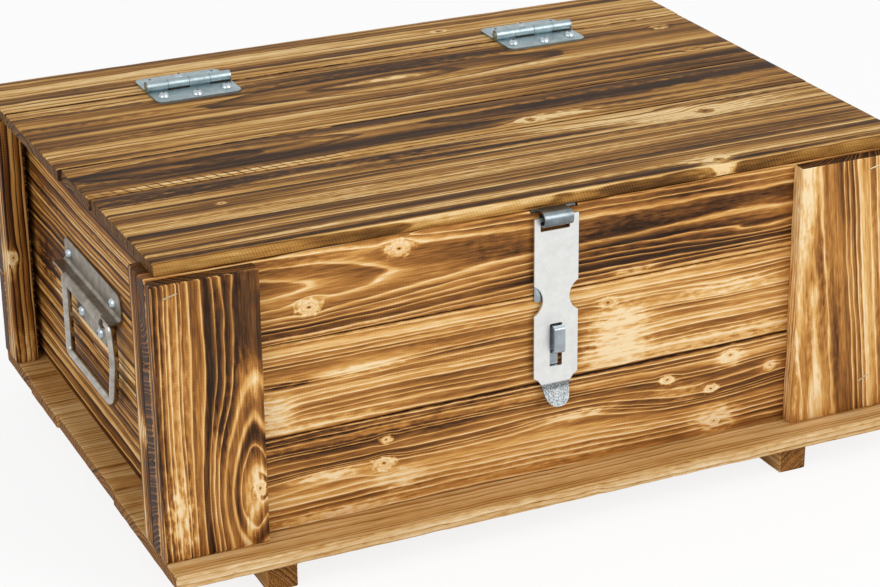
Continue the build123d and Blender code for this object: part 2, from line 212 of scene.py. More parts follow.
# Flamed and brushed spruce: the flame chars the soft summer wood between the hard late
# rings, which stay as thin cream and orange lines with a glow beside them.
FLAMED = WoodLook(
    name="Flamed spruce",
    colours=(
        (0.0, "#26150a"), (0.12, "#472b15"), (0.26, "#6a4321"), (0.42, "#935f2c"),
        (0.58, "#b98040"), (0.72, "#d6a35b"), (0.86, "#e6be83"), (1.0, "#f1d8ac"),
    ),
    ring_profile=(
        (0.0, 1.0), (0.07, 0.92), (0.18, 0.5), (0.4, 0.17), (0.72, 0.0), (0.88, 0.1),
        (0.95, 0.45), (1.0, 1.0),
    ),
    dark_tone=(0.66, -0.66),
    light_tone=(1.02, -0.36),
    scorch_bands=0.5,
    cloud=(150, 26, 1.3),
    saw_marks=0.014,
    saw_slant=0.0,
    streaks=0.5,
    ash=0.35,
    roughness=0.5,
)

# Rough-sawn and lightly flamed spruce: the late rings are the dark lines, and whole rings
# are scorched here and there. The saw left fine slanting marks.
SAWN_TOP = WoodLook(
    name="Sawn flamed spruce",
    colours=(
        (0.0, "#241308"), (0.14, "#412810"), (0.3, "#60401c"), (0.46, "#865a28"),
        (0.62, "#aa7a3b"), (0.78, "#c69853"), (0.9, "#d9b275"), (1.0, "#ecce98"),
    ),
    ring_profile=(
        (0.0, 0.95), (0.12, 1.0), (0.5, 0.82), (0.76, 0.5), (0.9, 0.0), (0.96, 0.1), (1.0, 0.9),
    ),
    dark_tone=(0.36, -0.36),
    light_tone=(0.9, -0.8),
    scorch_bands=0.7,
    cloud=(380, 11, 2.7),
    saw_marks=0.075,
    saw_slant=0.38,
    streaks=0.42,
    ash=0.1,
    roughness=0.6,
)

# Planed and flamed spruce of the end walls and strips: smooth orange-gold wood with thin
# dark late rings and a few whole rings burnt brown
STRIPED = WoodLook(
    name="Striped flamed spruce",
    colours=(
        (0.0, "#1c0e05"), (0.14, "#3a1f0b"), (0.28, "#583210"), (0.44, "#825221"),
        (0.6, "#aa7536"), (0.76, "#c4914d"), (0.88, "#d3a968"), (1.0, "#e9ca98"),
    ),
    ring_profile=(
        (0.0, 0.9), (0.1, 1.0), (0.45, 0.8), (0.68, 0.42), (0.84, 0.0), (0.95, 0.04), (1.0, 0.85),
    ),
    dark_tone=(0.2, -0.28),
    light_tone=(0.92, -0.78),
    scorch_bands=0.7,
    cloud=(200, 14, 1.6),
    saw_marks=0.03,
    saw_slant=0.2,
    streaks=0.36,
    ash=0.0,
    roughness=0.55,
)

# Floor, runners and lid battens: sawn spruce that the flame only warmed, so it stays pale,
# matt and even, with fine darker late rings
PALE = WoodLook(
    name="Pale sawn spruce",
    colours=(
        (0.0, "#3f2712"), (0.18, "#6b431d"), (0.36, "#946430"), (0.54, "#b5874b"),
        (0.72, "#cba46d"), (0.88, "#dbbc8e"), (1.0, "#ead2ac"),
    ),
    ring_profile=((0.0, 0.9), (0.12, 1.0), (0.6, 0.75), (0.82, 0.36), (0.92, 0.05), (1.0, 0.85)),
    dark_tone=(0.5, -0.44),
    light_tone=(0.86, -0.4),
    scorch_bands=0.35,
    cloud=(150, 20, 1.2),
    saw_marks=0.02,
    saw_slant=0.3,
    streaks=0.4,
    ash=0.0,
    roughness=0.65,
)

# Saw marks stand this far apart along a board, in mm
SAW_FEED = 2.4


def make_wood_group(look):
    """Growth rings of a log cut into boards, coloured by how hard the flame caught them."""
    inputs = {"Place": "Vector", "Pith": "Vector"}
    for name in ("Ring width", "Push", "Tone", "Scorch", "Seed", "End grain", "Core", "Core tone"):
        inputs[name] = "Float"
    tree, given, result = new_group(
        look.name, inputs, {"Color": "Color", "Roughness": "Float", "Height": "Float"}
    )
    seed = given["Seed"]
    shift = add_node(tree, "VectorMath", {0: (37.0, 91.0, 53.0), "Scale": seed}, "SCALE")
    moved = add_node(tree, "VectorMath", [given["Place"], shift], "ADD")

    def along_grain(length, width, detail=2.0):
        """A pattern that is long along the grain and short across it, in mm."""
        size = (1 / length, 1 / width, 1 / width)
        squeezed = add_node(tree, "VectorMath", [moved, size], "MULTIPLY")
        return add_node(tree, "TexNoise", {"Vector": squeezed, "Scale": 1.0, "Detail": detail})

    # The trunk bends by up to 9 mm over 300 mm, so the rings aren't straight
    swayed = along_grain(300, 60).outputs["Color"]
    bend = add_node(tree, "VectorMath", [swayed, (0.5, 0.5, 0.5)], "SUBTRACT")
    bent = add_node(tree, "VectorMath", [bend, (0.0, 9.0, 9.0)], "MULTIPLY")
    from_pith = add_node(tree, "VectorMath", [given["Place"], given["Pith"]], "SUBTRACT")
    across = add_node(tree, "VectorMath", [from_pith, (0.0, 1.0, 1.0)], "MULTIPLY")
    wavy = add_node(tree, "VectorMath", [across, bent], "ADD")
    radius = add_node(tree, "VectorMath", [wavy], "LENGTH").outputs["Value"]
    counted = add_node(tree, "Math", [radius, given["Ring width"]], "DIVIDE")
    pushed = add_node(tree, "Math", [counted, given["Push"]], "ADD")
    ripple = along_grain(34, 9, 1.5)
    wobble = add_node(tree, "Math", [ripple, 0.42, pushed], "MULTIPLY_ADD")
    # Good and bad years: the rings come wider and narrower in turn
    pace = add_node(tree, "Math", [wobble, 0.45, seed], "MULTIPLY_ADD")
    drawn_out = {"W": pace, "Scale": 1.0, "Detail": 1.0}
    years = add_node(tree, "TexNoise", drawn_out, noise_dimensions="1D")
    rings = add_node(tree, "Math", [years, 1.9, wobble], "MULTIPLY_ADD")
    phase = add_node(tree, "Math", [rings], "FRACT")
    number = add_node(tree, "Math", [rings], "FLOOR")
    keyed = add_node(tree, "Math", [number, 1.37, seed], "MULTIPLY_ADD")
    chance = add_node(tree, "TexWhiteNoise", {"W": keyed}, noise_dimensions="1D").outputs["Value"]
    profile = add_node(tree, "ValToRGB", [phase])
    set_ramp(profile, look.ring_profile, "EASE")

    # Scorch: a slow cloud along the board, whole rings by chance, and the board's patches
    length, width, strength = look.cloud
    drift = along_grain(length, width, 3.0)
    cloud = add_node(tree, "Math", [drift, strength, -strength / 2], "MULTIPLY_ADD")
    bands = [chance, look.scorch_bands, -look.scorch_bands / 2]
    by_chance = add_node(tree, "Math", bands, "MULTIPLY_ADD")
    clouded = add_node(tree, "Math", [given["Scorch"], cloud], "ADD")
    banded = add_node(tree, "Math", [clouded, by_chance], "ADD")
    char = add_node(tree, "Math", [banded, given["Tone"]], "SUBTRACT")
    scorch = add_node(tree, "Clamp", [char])
    dark, light = (
        add_node(tree, "Math", [scorch, change, clean], "MULTIPLY_ADD")
        for clean, change in (look.dark_tone, look.light_tone)
    )
    ringed = add_node(tree, "MapRange", [profile, 0.0, 1.0, dark, light])

    # Fibres are 0.03 mm across in the wood and drawn 1 mm across, so that they show
    fibre = along_grain(15, 1.0, 3.0)
    streak = along_grain(80, 2.4)
    streaked = add_node(tree, "Math", [streak, look.streaks, ringed], "MULTIPLY_ADD")
    fibred = add_node(tree, "Math", [fibre, look.streaks, streaked], "MULTIPLY_ADD")

    # Saw marks: a slanting wave whose feed and depth vary over the board
    slope = (1.0, look.saw_slant, look.saw_slant)
    slant = add_node(tree, "VectorMath", [moved, slope], "DOT_PRODUCT").outputs["Value"]
    feed = add_node(tree, "Math", [along_grain(45, 45), 5.0, slant], "MULTIPLY_ADD")
    saw_turn = add_node(tree, "Math", [feed, 2 * math.pi / SAW_FEED], "MULTIPLY")
    saw = add_node(tree, "Math", [saw_turn], "SINE")
    depths = [along_grain(70, 22), look.saw_marks * 2.2, -look.saw_marks * 0.6]
    saw_depth = add_node(tree, "Math", depths, "MULTIPLY_ADD")
    sawn = add_node(tree, "Math", [saw, saw_depth, fibred], "MULTIPLY_ADD")
    pale = add_node(tree, "Clamp", [given["Tone"]])
    paler = add_node(tree, "Math", [pale, 0.34, sawn], "MULTIPLY_ADD")
    lowered = add_node(tree, "Math", [paler, -look.streaks], "ADD")
    knotted = add_node(tree, "MapRange", [given["Core"], 0.0, 1.0, lowered, given["Core tone"]])

    # End grain drinks more flame: darker, with pores. They are 0.03 mm wide in the wood and
    # drawn 1 mm wide, so that they show.
    pores = add_node(tree, "TexNoise", {"Vector": moved, "Scale": 1.1, "Detail": 3.0})
    end_ringed = add_node(tree, "Math", [profile, 0.42, -0.5], "MULTIPLY_ADD")
    end_tone = add_node(tree, "Math", [pores, 0.9, end_ringed], "MULTIPLY_ADD")
    tone = add_node(tree, "MapRange", [given["End grain"], 0.0, 1.0, knotted, end_tone])
    colour = add_node(tree, "ValToRGB", [tone])
    set_ramp(colour, look.colours)

    # The hardest charred wood loses its red and turns grey-brown
    ash = add_node(tree, "MapRange", [char, 0.85, 1.5, 0.0, look.ash])
    ashen = add_node(tree, "Mix", {0: ash, 6: colour, 7: linear("#55412f")}, data_type="RGBA")
    # Brushing leaves the late rings and the fibres standing
    ridge = add_node(tree, "Math", [profile, 0.7, fibre], "MULTIPLY_ADD")
    height = add_node(tree, "Math", [saw, look.saw_marks, ridge], "MULTIPLY_ADD")
    roughness = add_node(tree, "Math", [fibre, 0.2, look.roughness - 0.1], "MULTIPLY_ADD")
    tree.links.new(ashen.outputs[2], result["Color"])
    tree.links.new(height.outputs[0], result["Height"])
    tree.links.new(roughness.outputs[0], result["Roughness"])
    return tree


groups = {}


def wood_material(board, scorch):
    """A board's own material: its place in the log, its patches and its knots."""
    look, pith = board.look, board.pith
    for key, maker in (("patch", make_patch_group), ("knot", make_knot_group)):
        if key not in groups:
            groups[key] = maker()
    if look.name not in groups:
        groups[look.name] = make_wood_group(look)
    material, tree, shader = new_material(f"{look.name}, {board.title}")
    coordinates = add_node(tree, "TexCoord")
    to_mm = [coordinates.outputs["Object"], (1 / MM, 1 / MM, 1 / MM), ORIGIN]
    chest_mm = add_node(tree, "VectorMath", to_mm, "MULTIPLY_ADD")
    parts = add_node(tree, "SeparateXYZ", [chest_mm])
    behind = next(axis for axis in AXES if axis not in board.axes)
    turned = [parts.outputs[AXES[axis]] for axis in (*board.axes, behind)]
    place = add_node(tree, "CombineXYZ", turned)
    facing = add_node(tree, "SeparateXYZ", [coordinates.outputs["Normal"]])
    end_on = add_node(tree, "Math", [facing.outputs[AXES[board.axes[0]]]], "ABSOLUTE")
    end_grain = add_node(tree, "MapRange", [end_on, 0.6, 0.8])
    # The flame stops at a torn edge: tongues 9 mm long and 3 mm wide
    squeezed = add_node(tree, "VectorMath", [place, (1 / 9, 1 / 3, 1 / 3)], "MULTIPLY")
    torn = add_node(tree, "TexNoise", {"Vector": squeezed, "Scale": 1.0, "Detail": 4.0})
    tearing = add_node(tree, "Math", [torn, 4.6, -2.3], "MULTIPLY_ADD")

    def oval(at):
        """The weights of a soft oval on the board's face, through its whole depth."""
        inputs = {
            "Place": place, "Tearing": tearing, "Centre": (at.along, at.across, 0.0),
            "Size": (at.length, at.width, 1e6),
        }
        return add_node(tree, "Group", inputs, node_tree=groups["patch"]).outputs

    push, tone, core, core_tone = 0.0, 0.0, 0.0, 0.0
    for patch in board.patches:
        weight = oval(patch)
        if patch.rings:
            moves = [weight["Smooth"], patch.rings, push]
            push = add_node(tree, "Math", moves, "MULTIPLY_ADD")
        if patch.tone:
            tints = [weight["Torn"], patch.tone, tone]
            tone = add_node(tree, "Math", tints, "MULTIPLY_ADD")
    if board.chatter:
        pitch = board.chatter.pitch
        slope = (1 / pitch, 0.5 / pitch, 0.0)
        ticks = add_node(tree, "VectorMath", [place, slope], "DOT_PRODUCT").outputs["Value"]
        turn = add_node(tree, "Math", [ticks], "FRACT")
        # Each tick fades over the first quarter of its pitch
        struck = add_node(tree, "MapRange", [turn, 0.24, 0.0])
        masked = add_node(tree, "Math", [struck, oval(board.chatter)["Smooth"]], "MULTIPLY")
        tone = add_node(tree, "Math", [masked, -1.6, tone], "MULTIPLY_ADD")
    for knot in board.knots:
        inputs = {"Place": place, "Centre": (knot.along, knot.across, 0.0), "Radius": knot.radius}
        branch = add_node(tree, "Group", inputs, node_tree=groups["knot"]).outputs
        # A knot parts as many rings as fit in its own width, away from itself
        parted = (1.5 if pith[0] > knot.across else -1.5) * knot.radius / board.ring_width
        push = add_node(tree, "Math", [branch["Push"], parted, push], "MULTIPLY_ADD")
        tone = add_node(tree, "Math", [branch["Halo"], 0.75 * knot.heart, tone], "MULTIPLY_ADD")
        heart = add_node(tree, "Math", [branch["Core tone"], knot.heart], "MULTIPLY")
        core = add_node(tree, "Math", [branch["Core"], core], "MAXIMUM")
        core_tone = add_node(tree, "Math", [heart, branch["Core"], core_tone], "MULTIPLY_ADD")
    leaning = place
    if board.lean:
        about = {"Vector": place, "Center": (100.0, *pith), "Angle": board.lean}
        leaning = add_node(tree, "VectorRotate", about, rotation_type="Z_AXIS")
    inputs = {
        "Place": leaning, "Pith": (0.0, *pith), "Ring width": board.ring_width, "Push": push,
        "Tone": tone, "Scorch": scorch, "Seed": board.seed, "End grain": end_grain, "Core": core,
        "Core tone": core_tone,
    }
    wood = add_node(tree, "Group", inputs, node_tree=groups[look.name])
    # The brush took 0.35 mm of charred summer wood from between the late rings
    brushed = {"Height": wood.outputs["Height"], "Strength": 0.5, "Distance": 0.35 * MM}
    relief = add_node(tree, "Bump", brushed)
    tree.links.new(wood.outputs["Color"], shader.inputs["Base Color"])
    tree.links.new(wood.outputs["Roughness"], shader.inputs["Roughness"])
    tree.links.new(relief.outputs[0], shader.inputs["Normal"])
    shader.inputs["IOR"].default_value = 1.45
    # Brushed char scatters the light that a flat face would mirror
    shader.inputs["Specular IOR Level"].default_value = 0.12
    return material


# Sizes of the steel's patterns in mm. Zinc blooms are 9 mm across. The specks of oil, and the grit
# in the painted shade on the strap's tip, are 0.3 mm across in the steel and drawn 1 mm across, so
# that they show.
ZINC_BLOOM = 9
SPECK = 1.1
PAINTED_SHADE_GRIT = 1.0


def steel_material(name, colour, dark, roughness, grain_mm, grain_axis, spots=0.0, painted_shade_below=None):
    """Zinc-plated or bare mild steel: rolled sheet with a fine drawn grain and dull blooms.

    spots is how much specks darken it. The last argument is a height on the chest in mm under
    which the colour is painted darker grey with grit: painted shade for the dark reflection of a bent
    tip."""
    material, tree, shader = new_material(name)
    place = add_node(tree, "TexCoord").outputs["Object"]
    # Rolling lines are 0.05 mm wide in the steel, and grain_mm wide here so that they show.
    # Each is 14 times as long as it is wide.
    stretch = [1 / (grain_mm * MM)] * 3
    stretch[AXES[grain_axis]] /= 14
    drawn = add_node(tree, "VectorMath", [place, stretch], "MULTIPLY")
    grain = add_node(tree, "TexNoise", {"Vector": drawn, "Scale": 1.0, "Detail": 3.0})
    bloom = add_node(
        tree, "TexNoise",
        {"Vector": place, "Scale": 1 / (ZINC_BLOOM * MM), "Detail": 4.0, "Roughness": 0.65},
    )
    mottled = add_node(tree, "MapRange", [bloom, 0.3, 0.72])
    speckle = add_node(tree, "TexVoronoi", {"Vector": place, "Scale": 1 / (SPECK * MM)})
    worn = add_node(tree, "Math", [speckle, spots, mottled], "MULTIPLY_ADD")
    tints = {0: worn, 6: linear(colour), 7: linear(dark)}
    tint = add_node(tree, "Mix", tints, data_type="RGBA").outputs[2]
    rough = add_node(tree, "Math", [grain, 0.16, roughness - 0.08], "MULTIPLY_ADD")
    rougher = add_node(tree, "Math", [mottled, 0.1, rough], "MULTIPLY_ADD")
    # Painted shade: below the given height the colour turns dark grey with grit, standing in for the
    # dark reflection that the strap's bent tip takes
    if painted_shade_below:
        height = add_node(tree, "SeparateXYZ", [place]).outputs["Z"]
        edge = to_frame(0, 0, painted_shade_below)[2]
        painted_shade_band = add_node(tree, "MapRange", [height, edge + 0.6 * MM, edge - 0.6 * MM])
        grit = add_node(tree, "TexNoise", {"Vector": place, "Scale": 1 / (PAINTED_SHADE_GRIT * MM), "Detail": 2.0})
        gritty = add_node(tree, "MapRange", [grit, 0.38, 0.62, 0.6, 1.0])
        share = add_node(tree, "Math", [gritty, painted_shade_band], "MULTIPLY")
        tints = {0: share, 6: tint, 7: linear("#5f6669")}
        tint = add_node(tree, "Mix", tints, data_type="RGBA").outputs[2]
    relief = add_node(tree, "Bump", {"Height": grain, "Strength": 0.18, "Distance": 0.08 * MM})
    tree.links.new(tint, shader.inputs["Base Color"])
    tree.links.new(rougher.outputs[0], shader.inputs["Roughness"])
    tree.links.new(relief.outputs[0], shader.inputs["Normal"])
    shader.inputs["Metallic"].default_value = 1.0
    return material


def to_frame(x, y, z):
    """A place on the chest in mm as a point in the chest's frame, in metres."""
    return (Vector((x, y, z)) - ORIGIN) * MM


def new_piece(name, vertices, faces, material, body):
    """A mesh piece in the chest's frame, in metres, riding on a body."""
    mesh = bpy.data.meshes.new(name)
    mesh.from_pydata(vertices, [], faces)
    mesh.materials.append(material)
    mesh.validate()
    mesh.shade_smooth()
    mesh.set_sharp_from_angle(angle=math.radians(38))
    piece = bpy.data.objects.new(name, mesh)
    bpy.context.scene.collection.objects.link(piece)
    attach(piece, body)
    return piece


def body_of_node(node_name):
    bodies = frame["record"]["behaviour"]["bodies"]
    return next(body for body, nodes in bodies.items() if node_name in nodes)


def slot_of_node(node_name):
    return next(s["material_slot"] for s in frame["record"]["subparts"] if s["node"] == node_name)


def skin(rings, count):
    """The faces of a closed bar whose cross-sections, of count points each, follow one another."""
    faces = []
    for i in range(rings - 1):
        for j in range(count):
            k = (j + 1) % count
            faces.append((i * count + j, (i + 1) * count + j, (i + 1) * count + k, i * count + k))
    faces.append(tuple(range(count)))
    faces.append(tuple((rings - 1) * count + j for j in range(count - 1, -1, -1)))
    return faces


def ruffle(point, size, seed):
    """Smooth noise from -1 to 1 at a point in mm."""
    return noise.noise(Vector(point) / size + Vector((seed * 7.3, seed * 3.1, seed * 5.7)))


def board_outline(width, depth, edge):
    """A board's cross-section: eased corners, and a point about every 9 mm between them."""
    turn = [(math.cos(a), math.sin(a)) for a in (math.radians(d) for d in (0, 30, 60, 90))]
    ring = []
    for corner, (cv, cw) in enumerate(((1, 1), (-1, 1), (-1, -1), (1, -1))):
        for c, s in turn if corner % 2 == 0 else turn[::-1]:
            ring.append((cv * (width / 2 - edge + edge * c), cw * (depth / 2 - edge + edge * s)))
    outline = []
    for here, after in zip(ring, ring[1:] + ring[:1]):
        outline.append(here)
        steps = math.dist(here, after) // 9
        for step in range(1, int(steps)):
            outline.append(tuple(h + (a - h) * (step / steps) for h, a in zip(here, after)))
    return outline


def board_piece(node_name, board, material, edge):
    """A sawn board in place of its CAD solid, with eased, uneven edges and slightly wavy faces."""
    low, high = (Vector(corner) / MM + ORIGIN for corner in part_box(node_name))
    u, v = (AXES[axis] for axis in board.axes)
    w = 3 - u - v
    width, depth, length = high[v] - low[v], high[w] - low[w], high[u] - low[u]
    outline = board_outline(width, depth, edge)
    # A cross-section about every 7 mm, and closer together where the ends are eased
    count = max(8, int(length / 7))
    stations = [low[u], low[u] + edge * 0.4]
    stations += [low[u] + edge + (length - 2 * edge) * i / count for i in range(count + 1)]
    stations += [high[u] - edge * 0.4, high[u]]
    wave, seed, notch = board.wave, board.wave_seed, board.notch
    if notch:
        stations = sorted(stations + [notch[0], notch[0] + 0.1, notch[1], notch[1] + 0.1])
    centre_v, centre_w = (low[v] + high[v]) / 2, (low[w] + high[w]) / 2
    vertices = []
    for s in stations:
        from_end = min(s - low[u], high[u] - s)
        at_end = from_end < edge
        tuck = edge * 0.55 * max(0.0, 1 - from_end / edge) if at_end else 0.0
        inward = 1 if s < (low[u] + high[u]) / 2 else -1
        for a, b in outline:
            side_v, side_w = a / (width / 2), b / (depth / 2)
            # Long waves from the saw and short ones from torn fibres
            ruffled = wave * ruffle((s, 40 * side_v, 40 * side_w), 24, seed)
            ruffled += 0.5 * wave * ruffle((s, 90 * side_v, 0), 7, seed)
            # A board may lose up to a wave of its width, but grows by 0.15 mm at most
            grown_v = a + side_v * (min(ruffled, 0.15) - tuck)
            grown_w = b + side_w * (0.35 * min(ruffled, 0.1) - tuck)
            end_wave = wave * 0.8 * ruffle((a, b, s), 18, seed + 4) if at_end else 0.0
            point = [0.0, 0.0, 0.0]
            point[u] = s + inward * abs(end_wave)
            point[v], point[w] = centre_v + grown_v, centre_w + grown_w
            if notch and notch[0] + 0.05 < s < notch[1] + 0.05:
                point[v] = min(point[v], high[v] - notch[2])
            vertices.append(to_frame(*point))
    faces = skin(len(stations), len(outline))
    body, slot = body_of_node(node_name), slot_of_node(node_name)
    piece = new_piece(node_name + "_sawn", vertices, faces, material, body)
    turned = bmesh.new()
    turned.from_mesh(piece.data)
    bmesh.ops.recalc_face_normals(turned, faces=turned.faces)
    turned.to_mesh(piece.data)
    turned.free()
    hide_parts(node_name)


def lay_boards(context, boards):
    """Makes each board's material, then the pieces that are cut from it."""
    settings = context.scene.chest_wood
    for board in boards:
        material = wood_material(board, board.scorch + settings.scorch)
        for node_name in board.nodes.split():
            board_piece(node_name, board, material, settings.edge_radius / MM)


def dress_node(node_name, material, edge=0.0):
    """Gives a CAD node its material, and eases its sharp edges by a small bevel in mm."""
    node = frame["nodes"][node_name]
    node.data.materials.clear()
    node.data.materials.append(material)
    if edge:
        bevel = node.modifiers.new("Eased edges", "BEVEL")
        bevel.width = edge * MM
        bevel.segments = 2
        bevel.limit_method = "ANGLE"
        bevel.angle_limit = math.radians(50)


class ChestStageProperties(bpy.types.PropertyGroup):
    floor_colour: bpy.props.FloatVectorProperty(
        name="Floor colour", description="Colour of the floor and the backdrop", subtype="COLOR",
        size=3, min=0.0, max=1.0, default=(1.0, 1.0, 1.0),
    )
    sky_strength: bpy.props.FloatProperty(
        name="Sky strength", description="Light from all round", min=0.0, max=4.0, default=0.62
    )
    key_power: bpy.props.FloatProperty(
        name="Key lamp", description="Power of the large lamp at the front right", unit="POWER",
        min=0.0, max=500.0, default=30.0,
    )


class ChestWoodProperties(bpy.types.PropertyGroup):
    scorch: bpy.props.FloatProperty(
        name="Scorch", description="How hard the flame caught every board",
        min=-1.0, max=1.0, default=0.0,
    )
    edge_radius: bpy.props.FloatProperty(
        name="Edge radius", description="How far the boards' long edges are eased",
        subtype="DISTANCE", unit="LENGTH", min=0.0, max=0.004, default=0.0012,
    )


FRONT_BOARDS = (
    Board(
        nodes="front_board_top", title="front top board", look=FLAMED,
        axes="XZ", ring_width=4.2, pith=(184.0, 32.0),
        scorch=0.68, seed=3.0, wave_seed=2.0, notch=(284.0, 321.4, 1.8),
        patches=(
            Patch(300, 142, WHOLE, 1.1, -0.8), Patch(70, 184, 130, 40, rings=-2.4),
            Patch(150, 200, 110, 6, 0.2), Patch(420, 178, 110, 30, -0.24),
            Patch(262, 188, 34, 14, -0.3), Patch(370, 147, 22, 3, 0.6),
            Patch(100, 145, 70, 4, 0.25), Patch(358, 176, 34, 11, -0.35),
            Patch(470, 160, 60, 8, 0.1, rings=-1.2),
        ),
        knots=(Knot(183.3, 196.4, 3.2), Knot(115.8, 165.5, 3.0)),
    ),
    Board(
        nodes="front_board_middle", title="front middle board", look=FLAMED,
        axes="XZ", ring_width=4.4, pith=(-20.0, -34.0),
        scorch=0.36, seed=11.0, wave_seed=3.0,
        patches=(
            Patch(300, 141.5, WHOLE, 1.1, -0.8), Patch(300, 72, WHOLE, 1.1, -0.8),
            Patch(130, 112, 60, 6, rings=0.9), Patch(450, 119, 50, 7, rings=1.0),
            Patch(97, 111, 22, 3, -0.8), Patch(152, 112, 40, 3.5, 0.55),
            Patch(90, 92, 12, 11, 0.8, rings=0.8), Patch(357, 102, 24, 20, 0.85, rings=0.6),
            Patch(354, 84, 24, 12, 0.6), Patch(450, 119, 42, 5, 0.55), Patch(440, 80, 80, 7, 0.4),
            Patch(240, 120, 60, 10, -0.2), Patch(120, 76, 60, 5, 0.3),
        ),
        knots=(Knot(347, 125, 2.2, 0.8),),
    ),
    Board(
        nodes="front_board_bottom", title="front bottom board", look=FLAMED,
        axes="XZ", ring_width=4.0, pith=(-50.0, -30.0),
        scorch=0.38, seed=23.0, wave_seed=4.0,
        patches=(
            Patch(300, 71.5, WHOLE, 1.2, -0.8), Patch(128, 35, 40, 7, rings=-1.2),
            Patch(325, 40, 44, 8, rings=-1.0), Patch(430, 38, 60, 16, rings=1.6),
            Patch(110, 62, 90, 8, -0.5), Patch(240, 62, 80, 8, -0.3), Patch(128, 35, 26, 4, 0.6),
            Patch(180, 20, 20, 8, 0.5), Patch(130, 4, 50, 5, 0.45), Patch(325, 40.5, 30, 4, 0.55),
            Patch(408, 42, 26, 8, 0.3), Patch(439, 12, 18, 10, 0.7), Patch(452, 60, 14, 7, 0.5),
            Patch(487, 47, 9, 5, 0.5), Patch(300, 10, 80, 8, 0.2),
        ),
        knots=(
            Knot(170.6, 53, 1.8), Knot(168.6, 35, 2.8), Knot(398, 53, 2.2), Knot(435.7, 38, 2.0),
            Knot(451.8, 62.5, 2.2), Knot(486.7, 47, 1.5), Knot(439.2, 10.4, 1.8),
        ),
    ),
    Board(
        nodes="front_post_left", title="left post", look=FLAMED,
        axes="ZX", ring_width=2.9, pith=(68.0, 60.0),
        scorch=0.8, seed=5.0, wave_seed=5.0,
        patches=(
            Patch(45, 68, 60, 30, rings=-3.2), Patch(168, 63, 34, 19, -0.75),
            Patch(120, 46, 60, 8, -0.45), Patch(30, 12, 28, 12, 0.5), Patch(110, 12, 110, 14, 0.25),
            Patch(46, 69, 12, 8, 0.45), Patch(122, 69, 12, 4, 0.4), Patch(15, 63, 22, 4, 0.55),
            Patch(90, 66, 30, 5, -0.3),
        ),
        knots=(Knot(43, 70.6, 2.4),),
    ),
    Board(
        nodes="front_post_right", title="right post", look=FLAMED,
        axes="ZX", ring_width=4.2, pith=(512.0, 50.0),
        scorch=0.32, seed=8.0, wave_seed=6.0, lean=0.1,
        patches=(
            Patch(185, 507, 50, 8, 0.75), Patch(95, 518, 75, 10, -0.45),
            Patch(18, 519, 28, 4, 0.75), Patch(120, 575, 90, 20, 0.15),
            Patch(100, 503, 110, 2.5, 0.5), Patch(60, 536, 60, 6, -0.3),
        ),
    ),
)

